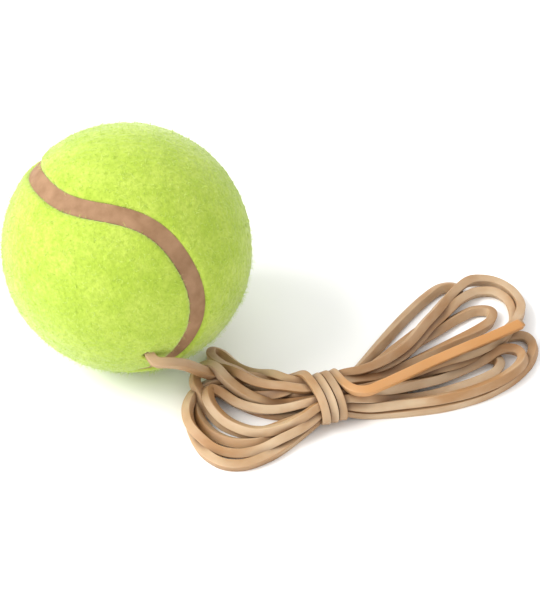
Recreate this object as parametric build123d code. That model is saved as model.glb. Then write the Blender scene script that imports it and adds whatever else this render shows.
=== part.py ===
from build123d import *
from math import cos, exp, pi, radians, sin, sqrt, tan
import os

os.makedirs("parts", exist_ok=True)

# A felt-covered rubber ball on a square latex rubber cord, lying on a flat surface.
# Millimetres. The origin is the point on which the ball rests, +Z is up, and the
# cord's hank lies beside the ball towards +X.

# --- Ball ---------------------------------------------------------------------------
ball_radius = 33.0            # over the felt
core_radius = 30.0            # outside of the rubber core
core_wall = 3.3               # thickness of the rubber core
core_joint = 0.4              # cement between the two half shells
seam_width = 4.8              # rubber band that shows between the two felt panels
seam_recess = 0.8             # how far that band lies below the felt
seam_shape = 0.72             # 1 is a flat ring, 0.5 the most tightly folded curve
seam_points = 80              # points on each edge of the seam
seam_wander = [               # turn along the seam in radians, reach, how far it strays sideways
    (0.16, 0.2, 2.0),
    (6.05, 0.2, -1.8),
    (4.92, 0.32, -6.5),
]
seam_step = 0.001             # in radians, for the seam's own direction
band_overlap = 2.0            # of the cutting band, below and above the felt
seam_turn_x, seam_turn_y, seam_turn_z = -108.0, -123.0, 76.0   # how the ball has rolled

# --- Cord ---------------------------------------------------------------------------
cord_width = 2.5              # side of the square section
cord_edge = 0.3               # rounding of its four edges
bore_radius = 2.0             # hole through the ball's wall
bore_overlap = 2.0            # how far the cutting bar reaches past the wall on both sides
exit_direction = (0.19, -0.935, -0.297)
knot_radius = 4.2
knot_length = 6.0
knot_rounding = 1.6
knot_gap = 0.5                # from the inside of the wall to the knot's flat face
lead_stand_off = 2.2          # from the felt to the first bend outside the ball
lead_route = [                # hand-laid points after that bend, round the ball to the hank
    (11.8, -32.0, 21.8),
    (15.2, -28.8, 18.2),
    (17.8, -24.8, 13.0),
    (20.5, -21.0, 7.5),
    (26.0, -19.5, 4.5),
]
bend_share = 0.45             # part of the shorter run that each bend may use

# --- Hank ---------------------------------------------------------------------------
waist_x, waist_y = 52.8, -28.3
waist_heading = 20.0          # direction of the hank's axis, degrees from +X
waist_half_length = 3.8
bundle_width = 10.9           # strands side by side under the tie
bundle_height = 6.3           # three layers of strands
bundle_corner = 3.1           # rounding of the bundle's section
bundle_overlap = 3.0          # how far the bundle reaches into each lobe
left_height = 11.0            # of the lobe nearer to the ball
right_height = 12.5           # of the lobe farther from the ball
lobe_edge = 3.0               # rounding along the top of each lobe
left_circles = [              # x, y, radius of the circles that the left lobe spans
    (23.5, -3.5, 5.5),
    (28.0, -37.0, 13.7),
    (46.8, -30.5, 6.5),
]
right_circles = [
    (85.0, 16.5, 6.5),
    (99.0, 13.5, 11.0),
    (100.0, -10.5, 12.0),
    (59.3, -26.0, 6.5),
]
hank_clearance = 0.4          # between the hank and the ball above it
wrap_count = 3
wrap_pitch = 2.35
wrap_width = 2.3

centre = Vector(0, 0, ball_radius)
outward = Vector(*exit_direction).normalized()


def shell(inner, outer):
    """Hollow ball around the origin."""
    return Sphere(outer) - Sphere(inner)


def even_seam(t):
    """Point of a perfectly even seam's middle line on a ball of radius 1."""
    a, b = seam_shape, 1 - seam_shape
    x = a * cos(t) + b * cos(3 * t)
    y = a * sin(t) - b * sin(3 * t)
    z = 2 * sqrt(a * b) * sin(2 * t)
    return Vector(x, y, z)


def across_seam(curve, t):
    """Direction over the ball at right angles to a curve."""
    along = curve(t + seam_step) - curve(t - seam_step)
    return curve(t).cross(along.normalized())


def seam_direction(t):
    """Point of this ball's seam, which strays a little from the even line."""
    stray = 0
    for middle, reach, shift in seam_wander:
        turn = (t - middle + pi) % (2 * pi) - pi
        stray += shift * exp(-((turn / reach) ** 2))
    return (even_seam(t) + across_seam(even_seam, t) * (stray / ball_radius)).normalized()


def seam_edge(side, radius):
    """One edge of the seam band at a radius; side is +1 or -1."""
    half_angle = seam_width / 2 / ball_radius
    points = []
    for i in range(seam_points):
        t = 2 * pi * i / seam_points
        shift = across_seam(seam_direction, t) * (side * sin(half_angle))
        points.append((seam_direction(t) * cos(half_angle) + shift) * radius)
    return Edge.make_spline(points, periodic=True)


def seam_band():
    """Closed ring along the seam, deep and tall enough to cut through the felt."""
    low, high = core_radius - band_overlap, ball_radius + band_overlap
    corners = [seam_edge(-1, low), seam_edge(-1, high), seam_edge(1, high), seam_edge(1, low)]
    sides = []
    for here, there in zip(corners, corners[1:] + corners[:1]):
        sides.append(Face.make_surface_from_curves(here, there))
    return Solid(Shell(sides))


def rolled(shape):
    """Turn a piece from the seam's own axes to the way that the ball lies."""
    return shape.rotate(Axis.X, seam_turn_x).rotate(Axis.Y, seam_turn_y).rotate(Axis.Z, seam_turn_z)


def on_exit_axis(shape, distance):
    """Put a piece made along +Z on the cord's exit axis, that far from the ball's centre."""
    return Plane(origin=outward * distance, z_dir=outward) * shape


def bore():
    """The cord's hole, from inside the core to outside the felt."""
    length = ball_radius - core_radius + core_wall + 2 * bore_overlap
    return on_exit_axis(Cylinder(bore_radius, length), ball_radius + bore_overlap - length / 2)


def save(shape, node):
    export_step(shape, f"parts/{node}.step")


# --- The ball's rubber core: two half shells and the cement between them -------------
core = shell(core_radius - core_wall, core_radius) - bore()
span = 4 * ball_radius         # larger than the whole ball
slab = Box(span, span, core_joint)
upper_space = Pos(0, 0, span / 2 + core_joint / 2) * Box(span, span, span)
lower_space = Pos(0, 0, -span / 2 - core_joint / 2) * Box(span, span, span)
lift = Pos(0, 0, ball_radius)
save(lift * (core & upper_space), "core_half_upper")
save(lift * (core & lower_space), "core_half_lower")
save(lift * (shell(core_radius - core_wall, core_radius) & slab), "core_joint_cement")

# --- The felt cover: two dumb-bell panels with the seam's rubber band between them ---
band = rolled(seam_band())
cover = shell(core_radius, ball_radius)
panels = (cover - band - bore()).solids()
panels = sorted(panels, key=lambda panel: panel.center().Y)
for letter, panel in zip("ab", panels):
    save(lift * panel, f"felt_panel_{letter}")
seam = (shell(core_radius, ball_radius - seam_recess) & band) - bore()
save(lift * seam, "seam_cement")

# --- The knot that keeps the cord in the ball ----------------------------------------
knot_face = core_radius - core_wall - knot_gap
knot = Cylinder(knot_radius, knot_length)
knot = fillet(knot.edges().filter_by(GeomType.CIRCLE), knot_rounding)
knot = on_exit_axis(knot, knot_face - knot_length / 2)
save(lift * knot, "cord_knot")

# --- The hank: two lobes and the tied waist between them, as one outer shape ----------
waist = Pos(waist_x, waist_y, 0) * Rot(0, 0, waist_heading)


def lobe(circles, height):
    """Everything that a lobe's loops cover, from the surface up."""
    with BuildSketch() as outline:
        for x, y, radius in circles:
            with Locations((x, y)):
                Circle(radius)
        make_hull()
    block = extrude(outline.sketch, height)
    return fillet(block.faces().sort_by(Axis.Z)[-1].edges(), lobe_edge)


def across_waist(section, shift, half_length):
    """Bar of that section along the hank's axis, at the height of the strands' middle."""
    middle = cord_width + bundle_height / 2
    square_on = Plane(origin=(shift, 0, middle), x_dir=(0, 1, 0), z_dir=(1, 0, 0))
    return waist * extrude(square_on * section, half_length, both=True)


tie_space = waist * Box(2 * waist_half_length, span, span)
bundle_section = RectangleRounded(bundle_width, bundle_height, bundle_corner)
bundle = across_waist(bundle_section, 0, waist_half_length + bundle_overlap)
ball_space = Pos(centre) * Sphere(ball_radius + hank_clearance)
lobes = lobe(left_circles, left_height) + lobe(right_circles, right_height)
hank = lobes - tie_space + bundle - ball_space
save(hank, "cord_hank")

# --- The three turns of cord that tie the waist ----------------------------------------
wrap_section = offset(bundle_section, cord_width) - bundle_section
wraps = []
for i in range(wrap_count):
    shift = (i - (wrap_count - 1) / 2) * wrap_pitch
    wraps.append(across_waist(wrap_section, shift, wrap_width / 2))
save(Compound(wraps), "cord_wraps")

# --- The stretch of cord from the knot, through the ball's wall, to the hank ----------
route = [centre + outward * knot_face, centre + outward * (ball_radius + lead_stand_off)]
route += [Vector(*point) for point in lead_route]
radii = []
for before, corner, after in zip(route, route[1:], route[2:]):
    first, second = corner - before, after - corner
    half_turn = radians(first.get_angle(second) / 2)
    radii.append(bend_share * min(first.length, second.length) / tan(half_turn))
print("bend radii:", [round(radius, 1) for radius in radii])
lead_path = FilletPolyline(*route, radius=radii)
section = Plane(origin=route[0], z_dir=outward) * RectangleRounded(cord_width, cord_width, cord_edge)
lead = sweep(section, path=lead_path)
section_area = section.area
print("lead volume", round(lead.volume, 1), "section times length", round(section_area * lead_path.length, 1))
save(lead - hank, "cord_lead")
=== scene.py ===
# %% [markdown]
# # A felt ball on a long square latex cord
# The ball is a hollow rubber core with two dumb-bell shaped felt panels cemented to it, and a
# wide band of rubber cement shows between them. A square-cut latex cord comes out of the ball,
# where a knot holds it, and is folded into a hank with three turns round its waist.
#
# This lesson builds, in this order: the camera, the cord, the knot, the felt, its loose fibres,
# the seam, the core, and the light. Everything is in metres, in the same frame as the CAD model.

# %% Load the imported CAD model
from math import asin, cos, exp, pi, radians, sin, sqrt

import bmesh
import bpy
import numpy as np
from mathutils import Matrix, Vector, kdtree, noise


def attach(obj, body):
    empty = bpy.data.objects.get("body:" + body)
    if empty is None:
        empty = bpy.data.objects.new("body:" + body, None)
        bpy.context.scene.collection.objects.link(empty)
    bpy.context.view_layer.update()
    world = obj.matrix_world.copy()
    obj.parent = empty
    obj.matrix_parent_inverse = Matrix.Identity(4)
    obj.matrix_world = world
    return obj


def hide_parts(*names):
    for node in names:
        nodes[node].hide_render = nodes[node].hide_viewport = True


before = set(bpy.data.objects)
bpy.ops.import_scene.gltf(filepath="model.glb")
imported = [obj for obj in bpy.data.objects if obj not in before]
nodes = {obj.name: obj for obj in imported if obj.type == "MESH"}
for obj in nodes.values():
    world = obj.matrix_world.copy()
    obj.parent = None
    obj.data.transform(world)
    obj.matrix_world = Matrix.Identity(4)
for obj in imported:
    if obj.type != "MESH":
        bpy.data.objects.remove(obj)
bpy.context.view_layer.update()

# %% [markdown]
# ## Shared sizes
# The driving sizes of the CAD model, turned to metres. `EXIT` is the direction in which the
# cord leaves the ball, and the ball turns about the same line.

# %% Sizes
MM = 0.001
BALL = 33 * MM                  # over the felt
CORE = 30 * MM                  # outside of the rubber core
SEAM_WIDTH = 4.8 * MM
SEAM_RECESS = 0.8 * MM
CENTRE = Vector((0, 0, BALL))
EXIT = Vector((0.19, -0.935, -0.297)).normalized()
CORD = 2.5 * MM                 # side of the cord's square section


# %% [markdown]
# ## Small helpers
# Colours are written as the sRGB hex codes that a colour picker shows. Blender's sockets want
# linear light, so `linear` turns a code into it. `add` makes a shader node with its settings
# and links, and `new_material` starts a material that has one Principled BSDF. `new_object`
# puts a mesh, a curve, a camera or a light into the scene, and `smooth` shades a mesh smooth.

# %% Helpers
def linear(code):
    """An sRGB hex colour as linear red, green, blue and alpha."""
    channels = [int(code[i : i + 2], 16) / 255 for i in (0, 2, 4)]
    return [c / 12.92 if c <= 0.04045 else ((c + 0.055) / 1.055) ** 2.4 for c in channels] + [1]


def add(tree, kind, sockets, **settings):
    """A new node. sockets maps an input's name or number to a value or to another node's output."""
    made = tree.nodes.new("ShaderNode" + kind)
    for name, value in settings.items():
        setattr(made, name, value)
    for name, value in sockets.items():
        if isinstance(value, bpy.types.NodeSocket):
            tree.links.new(value, made.inputs[name])
        else:
            made.inputs[name].default_value = value
    return made


def new_material(name, **settings):
    """A material and its Principled BSDF, with plain values on the shader's own sockets."""
    material = bpy.data.materials.new(name)
    material.use_nodes = True
    shader = material.node_tree.nodes["Principled BSDF"]
    for socket, value in settings.items():
        shader.inputs[socket.replace("_", " ")].default_value = value
    return material, shader


def new_object(name, data):
    """Puts a mesh, curve, camera or light in the scene as an object at the origin."""
    made = bpy.data.objects.new(name, data)
    bpy.context.scene.collection.objects.link(made)
    return made


def smooth(mesh):
    """Shades a mesh smooth, with no visible faces."""
    mesh.shade_smooth()


# %% [markdown]
# ## The camera
# It looks down on the ball and the hank from the front, through a long lens, so that the
# square cord keeps its thickness from one end of the hank to the other.

# %% Camera
camera_data = bpy.data.cameras.new("camera")
camera_data.lens = 120
camera_data.dof.use_dof = False
camera = new_object("camera", camera_data)
camera.location = (37.62 * MM, -401.57 * MM, 376.1 * MM)
camera.rotation_euler = (radians(48), 0, 0)
bpy.context.scene.camera = camera

# %% [markdown]
# ## The cord: where its folds lie
# The cord leaves the ball and runs down to the hank's waist. There it passes to and fro
# through the tie, fourteen strands in three rows, and between two of them it makes a teardrop,
# each of its own size and direction. Each row of `TURNS` is one of those teardrops:
#
# * side of the waist, reach, heading in degrees and width of the teardrop,
# * `taper`: 0 is an ellipse, and the larger it is the nearer the width lies to the tip,
# * `bow`: how far its middle line bends to the left,
# * the places in the tie from which it comes and to which it goes back, and
# * `layer`: how many cords deep it starts in the pile.
#
# A place in the tie is a row (Bottom, Middle or Top) and a column, 1 at the front and 5 at
# the back.

# %% Folds of the hank
WAIST = Vector((52.8, -28.3, 0)) * MM
HEADING = 20                    # of the hank's long axis, degrees from +X
HALF_TIE = 3.8 * MM
ROWS = {"B": (3.5, 2.1), "M": (5.7, 2.25), "T": (7.9, 2.1)}     # height, spacing
TIE_START = (5.0, 10.0)         # where the last fold rises into the tie: across, height
FOLD_POINTS = 16                # in one teardrop
LAYER = 0.95                    # of a cord's width, from one layer of the pile to the next
TURNS = [
    ("R", 61, 40.5, 7.5, 2.6, 1.0, "M4", "T4", 3),
    ("L", 42.5, 135.0, 5.0, 0.6, 6.0, "T4", "T5", 6),
    ("R", 68, 45.5, 22.0, 2.6, -7.0, "T5", "M3", 7),
    ("L", 34.5, 158.0, 10.0, 0.0, 9.0, "M3", "M2", 6),
    ("R", 59.5, 26.0, 14.5, 1.9, -6.5, "M2", "B1", 4),
    ("L", 33, 185.0, 29.5, 1.8, 4.0, "B1", "B5", 2),
    ("R", 63, 54.0, 7.5, 2.6, 1.5, "B5", "B4", 1),
    ("L", 34, 185.5, 25.5, 0.9, 0.5, "B4", "M1", 4),
    ("R", 54.5, 21.0, 11.0, 2.6, -5.0, "M1", "T2", 6),
    ("L", 33.0, 161.0, 8.0, 0.0, 9.5, "T2", "T1", 8),
    ("R", 50, 22.0, 8.0, 2.6, -2.0, "T1", "B2", 2),
    ("L", 32.5, 171.0, 16.5, 1.3, 7.0, "B2", "M5", 3),
    ("R", 64.5, 43.0, 20.0, 2.8, -5.5, "M5", "B3", 5),
    ("L", 29, 152.0, 8.0, 0.2, 3.0, "B3", "", 1),
]


def heading(degrees):
    """The level direction that many degrees from +X towards +Y."""
    return Vector((cos(radians(degrees)), sin(radians(degrees)), 0))


ALONG, ACROSS = heading(HEADING), heading(HEADING + 90)


def place(name):
    """How far across the tie and how high a place is."""
    if not name:
        return TIE_START[0] * MM, TIE_START[1] * MM
    height, spacing = ROWS[name[0]]
    return (int(name[1]) - 3) * spacing * MM, height * MM


def teardrop(side, reach, direction, width, taper, bow, start, end, layer):
    """The points of one fold, from the mouth of the tie out to the tip and back."""
    reach, width, bow = reach * MM, width * MM, bow * MM
    mouth = WAIST + ALONG * (HALF_TIE if side == "R" else -HALF_TIE)
    ahead, left = heading(direction), heading(direction + 90)
    (start_across, start_height), (end_across, end_height) = place(start), place(end)
    turns_left = 1 if ACROSS.dot(left) * (start_across - end_across) > 0 else -1
    widest = max(sin(t) * sin(t / 2) ** taper for t in np.linspace(0.01, pi, 100))
    points = []
    for i in range(FOLD_POINTS):
        t = 2 * pi * (i + 0.5) / FOLD_POINTS
        out = (1 - cos(t)) / 2
        aside = turns_left * width / 2 * sin(t) * abs(sin(t / 2)) ** taper / widest
        aside += bow * sin(pi * out)
        near_tie = (1 - out) ** 2
        across, height = (start_across, start_height) if t < pi else (end_across, end_height)
        point = mouth + ahead * reach * out + left * aside + ACROSS * across * near_tie
        point.z = height * near_tie + (1 - near_tie) * CORD * (0.5 + LAYER * layer)
        points.append(point)
    return points


def through_tie(name, to_right):
    """Three points of the straight strand that lies in one place of the tie."""
    across, height = place(name)
    middle = WAIST + ACROSS * across + Vector((0, 0, height))
    points = [middle + ALONG * shift for shift in (-HALF_TIE, 0, HALF_TIE)]
    return points if to_right else points[::-1]


# %% [markdown]
# ## The cord: three turns round the waist
# Before its free end, the cord is wound nearly three times round all the strands. Seen along
# the waist, each turn is a stadium: two half circles with short straight runs between them.
# The tie begins and ends on top.

# %% Turns of the tie
TIE_TURNS = 2.92
TIE_PITCH = 2.35 * MM
TIE_FLAT = 2.3 * MM             # half of each straight run
TIE_ROUND = 4.4 * MM            # radius of each half circle, to the cord's middle
TIE_HEIGHT = 5.7 * MM
TIE_BEGIN = 0.03                # share of a turn past the middle of its top
TIE_POINTS = 12                 # in one turn


def on_stadium(share):
    """How far across and how high a point is, that share of a turn past the middle of the top."""
    arc = pi * TIE_ROUND
    run = (share % 1) * (2 * arc + 4 * TIE_FLAT) + TIE_FLAT
    run %= 2 * arc + 4 * TIE_FLAT
    if run < 2 * TIE_FLAT:
        return TIE_FLAT - run, TIE_ROUND
    run -= 2 * TIE_FLAT
    if run < arc:
        return -TIE_FLAT - TIE_ROUND * sin(run / TIE_ROUND), TIE_ROUND * cos(run / TIE_ROUND)
    run -= arc
    if run < 2 * TIE_FLAT:
        return run - TIE_FLAT, -TIE_ROUND
    run -= 2 * TIE_FLAT
    return TIE_FLAT + TIE_ROUND * sin(run / TIE_ROUND), -TIE_ROUND * cos(run / TIE_ROUND)


def tie_points():
    """The points of all the turns, from the ball's side of the waist to the far side."""
    points = []
    for i in range(round(TIE_TURNS * TIE_POINTS) + 1):
        across, height = on_stadium(TIE_BEGIN + i / TIE_POINTS)
        shift = (i / TIE_POINTS - TIE_TURNS / 2) * TIE_PITCH
        rise = Vector((0, 0, TIE_HEIGHT + height))
        points.append(WAIST + ALONG * shift + ACROSS * across + rise)
    return points


# %% [markdown]
# ## The cord: its whole plan
# `LEAD` takes the cord from its first bend outside the ball down to the floor and along it to
# the tie. Two more points put it straight through the ball's wall before that bend. `TAIL` is
# the free end: it leaves the last turn of the tie and lies on top of everything.
#
# Each point of the plan is kept with a yes or no that says whether it is held in its place.

# %% Plan
LEAD = [Vector(point) * MM for point in (
    (11.8, -32.0, 21.8),
    (15.2, -28.8, 18.2),
    (17.8, -24.8, 13.0),
    (20.5, -21.0, 7.5),
    (26.0, -19.5, 4.5),
    (34.0, -22.0, 4.5),
    (42.0, -25.0, 5.5),
)]
TAIL = [Vector(point) * MM for point in (
    (56.9, -28.5, 10.6),
    (59.3, -30.9, 10.9),
    (62.6, -31.6, 10.8),
    (70.6, -26.1, 10.2),
    (79.4, -19.5, 9.4),
    (88.3, -14.1, 9.3),
    (97.4, -8.1, 8.5),
    (106.0, -2.3, 8.0),
)]
KNOT_FACE = 26.2 * MM           # from the ball's centre
FIRST_BEND = 35.2 * MM          # from the ball's centre too
ON_FLOOR = 4                    # of the lead's points, its last ones, settle with the hank
HANGING = 6 * MM                # and those of them that are higher than this are held

lead = [CENTRE + EXIT * KNOT_FACE, CENTRE + EXIT * FIRST_BEND] + LEAD
plan = [(point, point.z > HANGING) for point in lead[-ON_FLOOR:]]
plan += [(point, True) for point in through_tie(TURNS[0][6], True)]
for turn in TURNS:
    plan += [(point, False) for point in teardrop(*turn)]
    if turn[7]:
        plan += [(point, True) for point in through_tie(turn[7], turn[0] == "L")]
plan += [(point, True) for point in tie_points()]
print("points in the hank's plan:", len(plan))

# %% [markdown]
# ## The cord: letting the folds settle
# The plan's teardrops cross each other at guessed heights. On a table the cord's own weight
# and thickness decide them. This is a small simulation of that: the plan becomes a chain of
# beads, and each round lets them fall a little, pulls them towards the plan, straightens
# the chain as the rubber's stiffness does, pushes apart beads that are nearer than the cord is
# thick, and keeps them above the table and outside the ball. The strands in the tie are held.
# Bends that are still too sharp at the end are spread over their neighbours. The free end
# doesn't take part: it is added afterwards, in steps of the same size.

# %% Settle the hank
BEAD = 2.2 * MM                 # from one bead to the next
ROUNDS = 320
FALL = 0.02 * MM                # added to each bead's speed in each round
FASTEST = 0.3 * MM
PULL = 0.1                      # towards the plan, share of the distance in each round
STIFFNESS = 0.15                # how much of each bend straightens in one pass
SHARP = 0.6                     # radians, from which a bend straightens more
SHARP_STIFFNESS = 0.5
PASSES = 2                      # of each kind of correction in one round
KEPT_SPEED = 0.9                # from one round to the next
SEARCH_ROUNDS = 4               # rounds from one search for close beads to the next
SEARCH_REACH = 1.5 * CORD
BALL_CLEARANCE = 2.2 * MM       # from the felt to the middle of the cord
ROUNDING = 40                   # passes that spread the bends that are still too sharp
SPREAD = 7                      # beads over which each of them is spread
NEIGHBOURS = 5                  # beads along the chain that may be nearer than a cord's width


def beads(points):
    """The plan as evenly spaced beads, and which of them are held."""
    places = np.array([point for point, held in points])
    held = np.array([float(held) for point, held in points])
    run = np.r_[0, np.cumsum(np.linalg.norm(np.diff(places, axis=0), axis=1))]
    marks = np.linspace(0, run[-1], int(run[-1] / BEAD))
    spread = np.stack([np.interp(marks, run, places[:, k]) for k in range(3)], 1)
    return spread, np.interp(marks, run, held) > 0.5


def settle(start, held):
    """Where the beads lie after they have settled."""
    free = np.where(held, 0.0, 1.0)[:, None]
    rest = np.linalg.norm(np.diff(start, axis=0), axis=1)
    centre = np.array(CENTRE)
    order = np.arange(len(start))
    far_enough = order[None, :] - order[:, None] > NEIGHBOURS
    bead, speed = start.copy(), np.zeros_like(start)
    for turn in range(ROUNDS):
        before = bead.copy()
        speed[:, 2] -= FALL
        bead = bead + speed * free
        bead[:, :2] += (start[:, :2] - bead[:, :2]) * PULL * free
        for _ in range(PASSES):
            bend = (bead[:-2] + bead[2:]) / 2 - bead[1:-1]
            sharp = np.linalg.norm(bend, axis=1) > BEAD * SHARP / 2
            bead[1:-1] += bend * np.where(sharp, SHARP_STIFFNESS, STIFFNESS)[:, None] * free[1:-1]
        if turn % SEARCH_ROUNDS == 0:
            near = np.linalg.norm(bead[:, None] - bead[None], axis=2) < SEARCH_REACH
            one, two = np.where(near & far_enough)
        for _ in range(PASSES):
            gap = bead[one] - bead[two]
            size = np.linalg.norm(gap, axis=1)
            hit = size < CORD
            a, b = one[hit], two[hit]
            push = gap[hit] * ((CORD - size[hit]) / (2 * size[hit]))[:, None]
            share = free[a] + free[b] + 1e-9
            np.add.at(bead, a, push * free[a] / share)
            np.add.at(bead, b, -push * free[b] / share)
            bead[:, 2] = np.where(held, bead[:, 2], np.maximum(bead[:, 2], CORD / 2))
            outward = bead - centre
            size = np.linalg.norm(outward, axis=1)
            clear = BALL + BALL_CLEARANCE
            inside = (size < clear) & ~held
            bead[inside] = centre + outward[inside] / size[inside][:, None] * clear
        for _ in range(PASSES):
            gap = bead[1:] - bead[:-1]
            size = np.linalg.norm(gap, axis=1)
            pull = gap * ((size - rest) / (4 * size))[:, None]
            bead[:-1] += pull * free[:-1]
            bead[1:] -= pull * free[1:]
        speed = (bead - before) * KEPT_SPEED
        size = np.linalg.norm(speed, axis=1) + 1e-12
        speed *= np.minimum(1, FASTEST / size)[:, None]
    for _ in range(ROUNDING):
        bend = (bead[:-2] + bead[2:]) / 2 - bead[1:-1]
        half_chord = np.linalg.norm(bead[2:] - bead[:-2], axis=1) / 2
        sharp = np.linalg.norm(bend, axis=1) > half_chord * SHARP / 2
        around = np.convolve(sharp, np.ones(SPREAD), "same") > 0
        bead[1:-1] += bend * (SHARP_STIFFNESS * around)[:, None] * free[1:-1]
    return bead


chain, held = beads(plan)
chain = settle(chain, held)
tail = beads([(Vector(chain[-1]), True)] + [(point, True) for point in TAIL])[0]
chain = np.vstack([chain, tail[1:]])
print("beads:", len(chain), "highest, mm:", round(chain[:, 2].max() / MM, 1))

# %% [markdown]
# ## The cord: one NURBS line and a square section
# The whole cord is one spline, with the lead's points and the settled beads as its control
# points. `order_u` is set after the points, because before them Blender keeps it at 2. The
# section is a second curve, a square with small rounded corners, given as bevel object, so
# Blender sweeps it along the line. `tilt` turns the section slowly, as a cut cord twists a
# little wherever it was folded, and `radius` narrows it near the waist, where the tie pulls.

# %% Sweep the cord
TWIST_LENGTH = 90 * MM          # over which the twist wanders
TWIST = 1.8                     # radians for a noise of 1, which seldom goes beyond 0.5
STRETCH = 0.88                  # of its width that the cord keeps where the tie pulls it
STRETCH_REACH = 14 * MM         # from the waist to where it has its full width again
SECTION_CORNER = 0.25 * MM
CORNER_STEPS = 3
FINENESS = 4                    # rings from one control point to the next


def curve_object(name, points, cyclic=False, kind="NURBS"):
    """A curve of one spline with those points."""
    curve = bpy.data.curves.new(name, "CURVE")
    curve.dimensions = "3D"
    curve.resolution_u = FINENESS
    spline = curve.splines.new(kind)
    spline.points.add(len(points) - 1)
    for target, point in zip(spline.points, points):
        target.co = (*point, 1)
    spline.use_cyclic_u = cyclic
    if kind == "NURBS":
        spline.order_u = 3
        spline.use_endpoint_u = not cyclic
    return new_object(name, curve)


def rounded_square(side, corner):
    """Points of the section, anticlockwise, with a few on each corner."""
    points = []
    for quarter in range(4):
        for step in range(CORNER_STEPS + 1):
            angle = pi / 2 * (quarter + step / CORNER_STEPS)
            middle = (side / 2 - corner) * sqrt(2)
            diagonal = pi / 4 + pi / 2 * quarter
            points.append(Vector((
                middle * cos(diagonal) + corner * cos(angle),
                middle * sin(diagonal) + corner * sin(angle),
                0,
            )))
    return points


def mesh_of(curve):
    """The mesh that Blender makes of a curve object."""
    bpy.context.view_layer.update()
    drawn = bpy.context.evaluated_depsgraph_get()
    return bpy.data.meshes.new_from_object(curve.evaluated_get(drawn))


route = lead[:-ON_FLOOR] + [Vector(bead) for bead in chain]
line = curve_object("cord_line", route)
centreline = [vertex.co.copy() for vertex in mesh_of(line).vertices]
cord_length = sum((b - a).length for a, b in zip(centreline, centreline[1:]))
print("cord length, m:", round(cord_length, 3), "points along it:", len(centreline))

section = curve_object("cord_section", rounded_square(CORD, SECTION_CORNER), True, "POLY")
run = 0
for point, before in zip(line.data.splines[0].points, [route[0]] + route):
    run += (point.co.to_3d() - before).length
    point.tilt = TWIST * noise.noise((run / TWIST_LENGTH, 0.5, 0.5))
    from_waist = abs((point.co.to_3d() - WAIST).dot(ALONG)) - HALF_TIE
    relaxed = min(1, max(0, from_waist / STRETCH_REACH))
    point.radius = STRETCH + (1 - STRETCH) * relaxed
line.data.twist_mode = "MINIMUM"
line.data.bevel_mode = "OBJECT"
line.data.bevel_object = section
line.data.use_fill_caps = True
cord = new_object("cord", mesh_of(line))
section_points = len(section.data.splines[0].points)
print("rings:", len(cord.data.vertices) / section_points, "of", section_points, "points")
for helper in (line, section):
    bpy.data.objects.remove(helper)

# %% [markdown]
# ## The cord: where each bit of its surface lies
# Two attributes for the material to read. `strand` holds, for every vertex, the distance
# along the cord and its place in the section, in metres, so that a pattern follows the cord
# round its folds. `crevice` says how closely other strands shut a vertex in: hardly any light
# reaches it there, and the material paints that shade into the cord's colour. They are filled
# while the vertices are still in the order in which the sweep made them, ring after ring.
# After that the ends are closed, and any vertex that the sweep put below the table is lifted to it.

# %% Cord attributes
CREVICE_REACH = 2.4 * MM        # from the middle of the cord to the point that is tested
CREVICE_SIZE = 2.4 * MM
OWN_STRAND = 24                 # points along the cord that belong to the same strand
IN_A_GAP = 0.3                  # the crevice value from which a vertex is counted below
CLOSE = 0.01 * MM               # vertices nearer than this become one

line_tree = kdtree.KDTree(len(centreline))
for i, point in enumerate(centreline):
    line_tree.insert(point, i)
line_tree.balance()
spacing = cord_length / (len(centreline) - 1)
along_cord, shut_in = [], []
for vertex in cord.data.vertices:
    ring = min(vertex.index // section_points, len(centreline) - 1)
    angle = 2 * pi * (vertex.index % section_points) / section_points
    along_cord += [ring * spacing, cos(angle) * CORD / 2, sin(angle) * CORD / 2]
    outward = (vertex.co - centreline[ring]).normalized()
    probe = centreline[ring] + outward * CREVICE_REACH
    near = [
        distance for point, index, distance in line_tree.find_range(probe, CREVICE_SIZE)
        if abs(index - ring) > OWN_STRAND
    ]
    shut_in.append(1 - min(near, default=CREVICE_SIZE) / CREVICE_SIZE)
cord.data.attributes.new("strand", "FLOAT_VECTOR", "POINT")
cord.data.attributes["strand"].data.foreach_set("vector", along_cord)
# crevice carries painted shade: the latex material darkens the cord by it between strands.
cord.data.attributes.new("crevice", "FLOAT", "POINT")
cord.data.attributes["crevice"].data.foreach_set("value", shut_in)
print("vertices in a gap:", sum(value > IN_A_GAP for value in shut_in), "of", len(shut_in))

bm = bmesh.new()
bm.from_mesh(cord.data)
bmesh.ops.remove_doubles(bm, verts=bm.verts, dist=CLOSE)
bmesh.ops.recalc_face_normals(bm, faces=bm.faces)
open_edges = sum(not edge.is_manifold for edge in bm.edges)
print("cord faces:", len(bm.faces), "open edges:", open_edges, "volume:", bm.calc_volume())
for vertex in bm.verts:
    vertex.co.z = max(0, vertex.co.z)
bm.to_mesh(cord.data)
bm.free()
smooth(cord.data)

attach(cord, "cord")
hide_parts("cord_lead", "cord_hank", "cord_wraps")

# %% [markdown]
# ## The knot inside the ball
# An overhand knot pulled tight, which is too wide for the hole. It is a closed three-lobed loop
# of the same cord. Nobody sees it until the ball is cut open.

# %% Knot
KNOT_STEPS = 48
KNOT_SIZE = 2.9 * MM            # from its middle to the middle of a lobe
KNOT_DEPTH = 1.3 * MM
KNOT_WAVE = 0.38                # share of its size by which the loop comes in and goes out
KNOT_SET_BACK = 3 * MM          # from the end of the cord to the knot's middle


def overhand(t):
    """A trefoil, which is what an overhand knot is once its ends are joined."""
    radius = KNOT_SIZE * (1 - KNOT_WAVE + KNOT_WAVE * cos(3 * t))
    return Vector((radius * cos(2 * t), radius * sin(2 * t), KNOT_DEPTH * sin(3 * t)))


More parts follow.
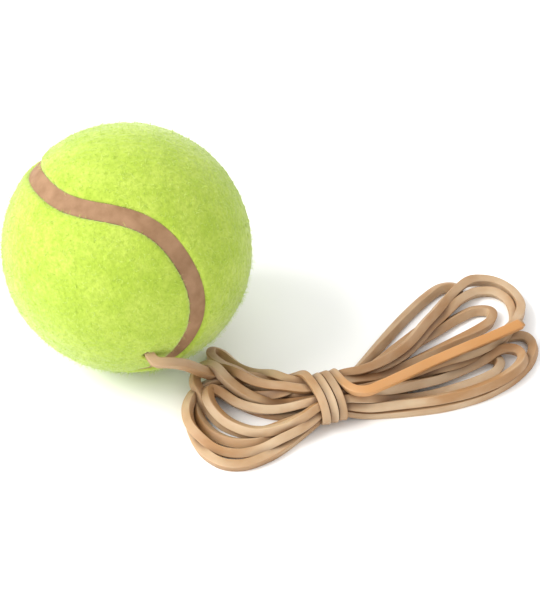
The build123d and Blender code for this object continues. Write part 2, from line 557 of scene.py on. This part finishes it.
knot_line = curve_object(
    "knot_line", [overhand(2 * pi * i / KNOT_STEPS) for i in range(KNOT_STEPS)], True
)
knot_line.data.bevel_depth = CORD / 2
knot_line.data.bevel_resolution = 3
knot = new_object("knot", mesh_of(knot_line))
bpy.data.objects.remove(knot_line)
knot_middle = CENTRE + EXIT * (KNOT_FACE - KNOT_SET_BACK)
knot_turn = EXIT.to_track_quat("Z", "Y").to_matrix().to_4x4()
knot.data.transform(Matrix.Translation(knot_middle) @ knot_turn)
smooth(knot.data)
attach(knot, "cord")
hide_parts("cord_knot")

# %% [markdown]
# ## Where the seam runs
# The seam of such a ball is one closed curve that swings four times between two poles. Its
# distance to a point of the ball, with a sign that tells one panel from the other, shapes the
# felt's edges and later keeps the loose fibres off the rubber.

# %% Seam curve
SEAM_SHAPE = 0.72               # 1 is a flat ring
SEAM_STEPS = 720
SEAM_STEP = 0.001               # radians
SEAM_WANDER = [                 # turn along the seam, reach, how far it strays sideways
    (0.16, 0.2, 2.0),
    (6.05, 0.2, -1.8),
    (4.92, 0.32, -6.5),
]
ROLL = (
    Matrix.Rotation(radians(76), 3, "Z")
    @ Matrix.Rotation(radians(-123), 3, "Y")
    @ Matrix.Rotation(radians(-108), 3, "X")
)


def even_seam(t):
    """Point of a perfectly even seam's middle line on a ball of radius 1."""
    a, b = SEAM_SHAPE, 1 - SEAM_SHAPE
    x = a * cos(t) + b * cos(3 * t)
    y = a * sin(t) - b * sin(3 * t)
    return Vector((x, y, 2 * sqrt(a * b) * sin(2 * t)))


def seam_direction(t):
    """The seam's middle line as this ball has it, which strays from the even curve."""
    stray = 0
    for middle, reach, shift in SEAM_WANDER:
        turn = (t - middle + pi) % (2 * pi) - pi
        stray += shift * MM * exp(-((turn / reach) ** 2))
    along = even_seam(t + SEAM_STEP) - even_seam(t - SEAM_STEP)
    across = even_seam(t).cross(along.normalized())
    return ROLL @ (even_seam(t) + across * (stray / BALL)).normalized()


seam_middle = [seam_direction(2 * pi * i / SEAM_STEPS) for i in range(SEAM_STEPS)]
seam_tree = kdtree.KDTree(SEAM_STEPS)
for i, direction in enumerate(seam_middle):
    seam_tree.insert(direction, i)
seam_tree.balance()


def from_seam(direction):
    """Distance over the ball from the felt's edge, which is negative over the seam."""
    chord = seam_tree.find(direction)[2]
    return 2 * asin(min(1, chord / 2)) * BALL - SEAM_WIDTH / 2


# %% [markdown]
# ## The felt panels
# Each panel starts as a copy of its CAD solid. A voxel remesh gives it small even faces. Then
# every vertex of the outside moves along its radius: down towards the seam at the panel's
# edge, and in and out with noise of two sizes, because the wool is pressed and brushed into
# uneven tufts. Round the cord's hole the soft felt closes on the cord.

# %% Felt panels
VOXEL = 0.42 * MM
EDGE_WIDTH = 1.5 * MM           # over which the felt rolls down to the seam
HOLE = 2.0 * MM                 # radius of the hole in the CAD panels
HOLE_PRESSED = 1.2 * MM         # radius to which the felt closes on the cord
HOLE_REACH = 4.0 * MM           # how far from the exit line the felt is drawn in
LUMPS = ((3.2 * MM, 0.1 * MM), (1.1 * MM, 0.12 * MM))     # size and height of the tufts
FLAT_DEPTH = 0.2                # share of the felt's thickness, from inside, that stays smooth


def felt_surface(vertex):
    """Where a vertex of the remeshed panel goes."""
    outward = vertex - CENTRE
    radius = outward.length
    direction = outward / radius
    depth = (radius - CORE) / (BALL - CORE)
    if depth > FLAT_DEPTH:
        edge = max(0, from_seam(direction))
        fall = SEAM_RECESS * max(0, 1 - edge / EDGE_WIDTH) ** 2
        lump = sum(
            height * noise.noise(direction * (BALL / size)) for size, height in LUMPS
        )
        radius += min(1, depth) * (lump - fall)
    moved = direction * radius
    along = moved.dot(EXIT)
    aside = moved - EXIT * along
    if along > 0 and 0 < aside.length < HOLE_REACH:
        share = (HOLE_REACH - aside.length) / (HOLE_REACH - HOLE)
        moved += aside.normalized() * share * (HOLE_PRESSED - HOLE)
    return CENTRE + moved


def remeshed(node, name):
    """A closed copy of a CAD node's mesh with small even faces."""
    work = new_object(name, nodes[node].data.copy())
    work.data.materials.clear()
    voxels = work.modifiers.new("voxels", "REMESH")
    voxels.mode = "VOXEL"
    voxels.voxel_size = VOXEL
    mesh = mesh_of(work)
    bpy.data.objects.remove(work)
    return new_object(name, mesh)


felt = []
for letter in "ab":
    panel = remeshed(f"felt_panel_{letter}", f"felt_{letter}")
    for vertex in panel.data.vertices:
        vertex.co = felt_surface(vertex.co)
    smooth(panel.data)
    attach(panel, "ball")
    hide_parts(f"felt_panel_{letter}")
    felt.append(panel)
    print(panel.name, "faces:", len(panel.data.polygons))

# %% [markdown]
# ## Loose wool fibres
# What makes felt look soft is its outline: single fibres stand off the surface and cross the
# seam's edges. Three fibres are made, each more curled than the last and in its own shade. A
# fibre is a closed three-sided strand with few faces, and thousands of copies of each are
# scattered over the panels, leaning every way. None stands where the ball touches the table.

# %% Fibres
FIBRE_SIDES = 3
FIBRE_STEPS = 4
FIBRE_RADIUS = 0.035 * MM
FIBRE_LENGTH = 1.3 * MM
FIBRE_TIP = 0.35                # of the root's radius
FIBRES = 5200                   # copies in each of the pieces
FIBRE_ROOT = 0.1 * MM           # how deep in the felt a fibre starts
LEANS = (0.5, 1.35)             # radians from upright
SIZES = (0.6, 1.35)             # of the fibre's length
OFF_SEAM = 0.15 * MM            # no fibre starts nearer than this to the seam
OFF_CORD = 0.05                 # or nearer to the cord's hole, in radians
CURLS = (0.7, 1.5, 2.3)         # radians from root to tip, one for each shade
SHADES = ("c6dc66", "aecb45", "d3e585")


def fibre(curl):
    """One fibre along +Z that starts at the origin and curls towards +X."""
    bm = bmesh.new()
    bmesh.ops.create_cone(
        bm, segments=FIBRE_SIDES, radius1=FIBRE_RADIUS, radius2=FIBRE_RADIUS * FIBRE_TIP,
        depth=FIBRE_LENGTH, cap_ends=True,
        matrix=Matrix.Translation((0, 0, FIBRE_LENGTH / 2)),
    )
    sides = [
        edge for edge in bm.edges
        if abs(edge.verts[0].co.z - edge.verts[1].co.z) > FIBRE_RADIUS
    ]
    bmesh.ops.subdivide_edges(bm, edges=sides, cuts=FIBRE_STEPS - 1)
    for vertex in bm.verts:
        along = vertex.co.z / FIBRE_LENGTH
        angle = curl * along
        bend = Matrix.Rotation(angle, 3, "Y")
        arc = Vector((1 - cos(angle), 0, sin(angle))) * FIBRE_LENGTH / curl
        vertex.co = bend @ Vector((vertex.co.x, vertex.co.y, 0)) + arc
    places = np.array([vertex.co for vertex in bm.verts])
    bm.verts.index_update()
    faces = [[vertex.index for vertex in face.verts] for face in bm.faces]
    bm.free()
    return places, faces


def scattered(name, places, faces, draw, count):
    """count copies of a fibre over the felt, as one mesh."""
    copies, polygons = [], []
    while len(copies) < count:
        direction = Vector(draw.normal(size=3)).normalized()
        if from_seam(direction) < OFF_SEAM or direction.angle(EXIT) < OFF_CORD:
            continue
        root = felt_surface(CENTRE + direction * BALL)
        if root.z < FIBRE_LENGTH:
            continue
        lean = draw.uniform(*LEANS)
        turn = (
            direction.to_track_quat("Z", "Y").to_matrix()
            @ Matrix.Rotation(draw.uniform(0, 2 * pi), 3, "Z")
            @ Matrix.Rotation(lean, 3, "X")
            @ Matrix.Rotation(draw.uniform(0, 2 * pi), 3, "Z")
        )
        size = draw.uniform(*SIZES)
        start = len(copies) * len(places)
        sunk = np.array(root - direction * FIBRE_ROOT)
        copies.append(places * size @ np.array(turn).T + sunk)
        polygons += [[start + index for index in face] for face in faces]
    mesh = bpy.data.meshes.new(name)
    mesh.from_pydata(np.concatenate(copies), [], polygons)
    return new_object(name, mesh)


draw = np.random.default_rng(7)
for number, (shade, curl) in enumerate(zip(SHADES, CURLS)):
    piece = scattered(f"fuzz_{number}", *fibre(curl), draw, FIBRES)
    material, shader = new_material(
        f"wool fibre, shade {number}", Base_Color=linear(shade), Roughness=0.9
    )
    piece.data.materials.append(material)
    smooth(piece.data)
    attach(piece, "ball")
    print(piece.name, "faces:", len(piece.data.polygons))

# %% [markdown]
# ## Felt material
# Wool and nylon felt scatters light at grazing angles, so it gets a little sheen. Its colour
# wanders in patches of several millimetres, and finer noise gives tufts and fibres. The hollows
# between the tufts are painted darker, as shade.

# %% Felt material
felt_material, shader = new_material(
    "yellow-green wool felt",
    Roughness=0.95,
    Sheen_Weight=0.6,
    Sheen_Roughness=0.4,
    Sheen_Tint=linear("f6fbe6"),
    Specular_IOR_Level=0.2,
)
tree = felt_material.node_tree
where = add(tree, "TexCoord", {})
patches = add(tree, "TexNoise", {"Vector": where.outputs["Object"], "Scale": 150, "Detail": 2})
tufts = add(
    tree, "TexNoise",
    {"Vector": where.outputs["Object"], "Scale": 1000, "Detail": 4, "Roughness": 0.65},
)
fibres = add(
    tree, "TexNoise",
    {"Vector": where.outputs["Object"], "Scale": 2200, "Detail": 3, "Distortion": 0.4},
)
colour = add(tree, "ValToRGB", {0: patches.outputs[0]})
colour.color_ramp.elements[0].position = 0.36
colour.color_ramp.elements[0].color = linear("a6bd42")
colour.color_ramp.elements[1].position = 0.66
colour.color_ramp.elements[1].color = linear("b4c752")
# Painted shade: where the tufts' noise is low, which the bump makes hollow, the colour goes darker
# green.
hollow_shade = add(tree, "MapRange", {0: tufts.outputs[0], 1: 0.35, 2: 0.6, 3: 0.6, 4: 0.0})
with_hollow_shade = add(
    tree, "Mix", {0: hollow_shade.outputs[0], 6: colour.outputs[0], 7: linear("90a934")},
    data_type="RGBA",
)
tree.links.new(with_hollow_shade.outputs[2], shader.inputs["Base Color"])
height = add(tree, "Math", {0: tufts.outputs[0], 1: fibres.outputs[0]}, operation="ADD")
bump = add(tree, "Bump", {"Height": height.outputs[0], "Strength": 0.6, "Distance": 0.25 * MM})
tree.links.new(bump.outputs[0], shader.inputs["Normal"])
for panel in felt:
    panel.data.materials.append(felt_material)

# %% [markdown]
# ## Seam material
# The band is rubber cement that was vulcanised between the panels: matt, slightly
# uneven, and stained here and there by felt dust.

# %% Seam material
seam_material, shader = new_material("tan rubber cement", Roughness=0.7, Specular_IOR_Level=0.35)
tree = seam_material.node_tree
where = add(tree, "TexCoord", {})
blotches = add(tree, "TexNoise", {"Vector": where.outputs["Object"], "Scale": 260, "Detail": 4})
colour = add(tree, "ValToRGB", {0: blotches.outputs[0]})
colour.color_ramp.elements[0].position = 0.32
colour.color_ramp.elements[0].color = linear("876546")
colour.color_ramp.elements[1].position = 0.68
colour.color_ramp.elements[1].color = linear("9d795a")
tree.links.new(colour.outputs[0], shader.inputs["Base Color"])
grain = add(tree, "TexNoise", {"Vector": where.outputs["Object"], "Scale": 1500, "Detail": 3})
bump = add(tree, "Bump", {"Height": grain.outputs[0], "Strength": 0.5, "Distance": 0.15 * MM})
tree.links.new(bump.outputs[0], shader.inputs["Normal"])
seam = nodes["seam_cement"]
for slot in seam.material_slots:
    slot.material = seam_material

# %% [markdown]
# ## Core material
# Filled natural rubber, grey and matt, with the darker cement in its joint.

# %% Core material
for names, label, light, dark in (
    (("core_half_upper", "core_half_lower"), "grey core rubber", "5c5a57", "474542"),
    (("core_joint_cement",), "dark rubber cement", "3b3630", "2c2823"),
):
    material, shader = new_material(label, Roughness=0.75, Specular_IOR_Level=0.4)
    tree = material.node_tree
    where = add(tree, "TexCoord", {})
    speckle = add(tree, "TexNoise", {"Vector": where.outputs["Object"], "Scale": 500, "Detail": 5})
    colour = add(tree, "ValToRGB", {0: speckle.outputs[0]})
    colour.color_ramp.elements[0].position = 0.4
    colour.color_ramp.elements[0].color = linear(dark)
    colour.color_ramp.elements[1].position = 0.6
    colour.color_ramp.elements[1].color = linear(light)
    tree.links.new(colour.outputs[0], shader.inputs["Base Color"])
    bump = add(tree, "Bump", {"Height": speckle.outputs[0], "Strength": 0.3, "Distance": 0.1 * MM})
    tree.links.new(bump.outputs[0], shader.inputs["Normal"])
    for name in names:
        for slot in nodes[name].material_slots:
            slot.material = material

# %% [markdown]
# ## Latex material
# Natural latex is tan and slightly translucent. Talc from the factory dulls it in long
# patches, and where hands have rubbed it off, as on the free end, it is deeper orange. Fine
# lengthwise marks come from the cutting wheel. In the gaps between strands, shade is painted dark.

# %% Latex material
FREE_END = 56 * MM              # the last stretch, which hands have rubbed
RUBBED_FULLY = 0.8              # of that stretch, from where on the talc is gone

latex, shader = new_material(
    "natural tan latex",
    Roughness=0.5,
    Subsurface_Weight=0.1,
    Subsurface_Radius=(1.0, 0.5, 0.25),
    Subsurface_Scale=0.5 * MM,
    Specular_IOR_Level=0.4,
)
tree = latex.node_tree
where = add(tree, "Attribute", {}, attribute_name="strand")
split = add(tree, "SeparateXYZ", {0: where.outputs["Vector"]})
gaps = add(tree, "Attribute", {}, attribute_name="crevice")
stretched = add(
    tree, "VectorMath", {0: where.outputs["Vector"], 1: (0.12, 1, 1)}, operation="MULTIPLY"
)
talc = add(tree, "TexNoise", {"Vector": stretched.outputs[0], "Scale": 420, "Detail": 4})
colour = add(tree, "ValToRGB", {0: talc.outputs[0]})
colour.color_ramp.elements[0].position = 0.36
colour.color_ramp.elements[0].color = linear("a1784e")
colour.color_ramp.elements[1].position = 0.66
colour.color_ramp.elements[1].color = linear("c0a686")
rubbed = add(tree, "MapRange", {
    0: split.outputs[0], 1: cord_length - FREE_END,
    2: cord_length - RUBBED_FULLY * FREE_END, 3: 0, 4: 0.8,
})
orange = add(
    tree, "Mix", {0: rubbed.outputs[0], 6: colour.outputs[0], 7: linear("c48a4e")},
    data_type="RGBA",
)
# Painted shade: the colour is darkened by `crevice`, where other strands shut the cord in.
gap_shade = add(tree, "MapRange", {0: gaps.outputs["Fac"], 1: 0.1, 2: 0.6, 3: 0, 4: 0.8})
dark = add(
    tree, "Mix", {0: gap_shade.outputs[0], 6: orange.outputs[2], 7: linear("5a3a1e")},
    data_type="RGBA",
)
tree.links.new(dark.outputs[2], shader.inputs["Base Color"])
marks = add(tree, "TexNoise", {"Vector": stretched.outputs[0], "Scale": 2200, "Detail": 2})
bump = add(tree, "Bump", {"Height": marks.outputs[0], "Strength": 0.4, "Distance": 0.08 * MM})
tree.links.new(bump.outputs[0], shader.inputs["Normal"])
for piece in (cord, knot):
    piece.data.materials.append(latex)

# %% [markdown]
# ## Floor and light
# A pale sheet, one large soft light from the upper left, and a bright surround.

# %% Floor and light
bm = bmesh.new()
bmesh.ops.create_grid(bm, x_segments=1, y_segments=1, size=2)
floor_mesh = bpy.data.meshes.new("floor")
bm.to_mesh(floor_mesh)
bm.free()
floor = new_object("floor", floor_mesh)
material, shader = new_material("white paper", Base_Color=linear("fbfbfa"), Roughness=0.9)
floor.data.materials.append(material)

key_data = bpy.data.lights.new("key", "AREA")
key_data.size = 1.2
key_data.energy = 40
key = new_object("key", key_data)
key.location = (-1.3, -0.25, 1.15)
key.rotation_euler = (CENTRE - key.location).to_track_quat("-Z", "Y").to_euler()
world = bpy.data.worlds.new("world")
world.use_nodes = True
world.node_tree.nodes["Background"].inputs["Color"].default_value = linear("ffffff")
world.node_tree.nodes["Background"].inputs["Strength"].default_value = 1.03
bpy.context.scene.world = world
bpy.context.scene.view_settings.view_transform = "Standard"
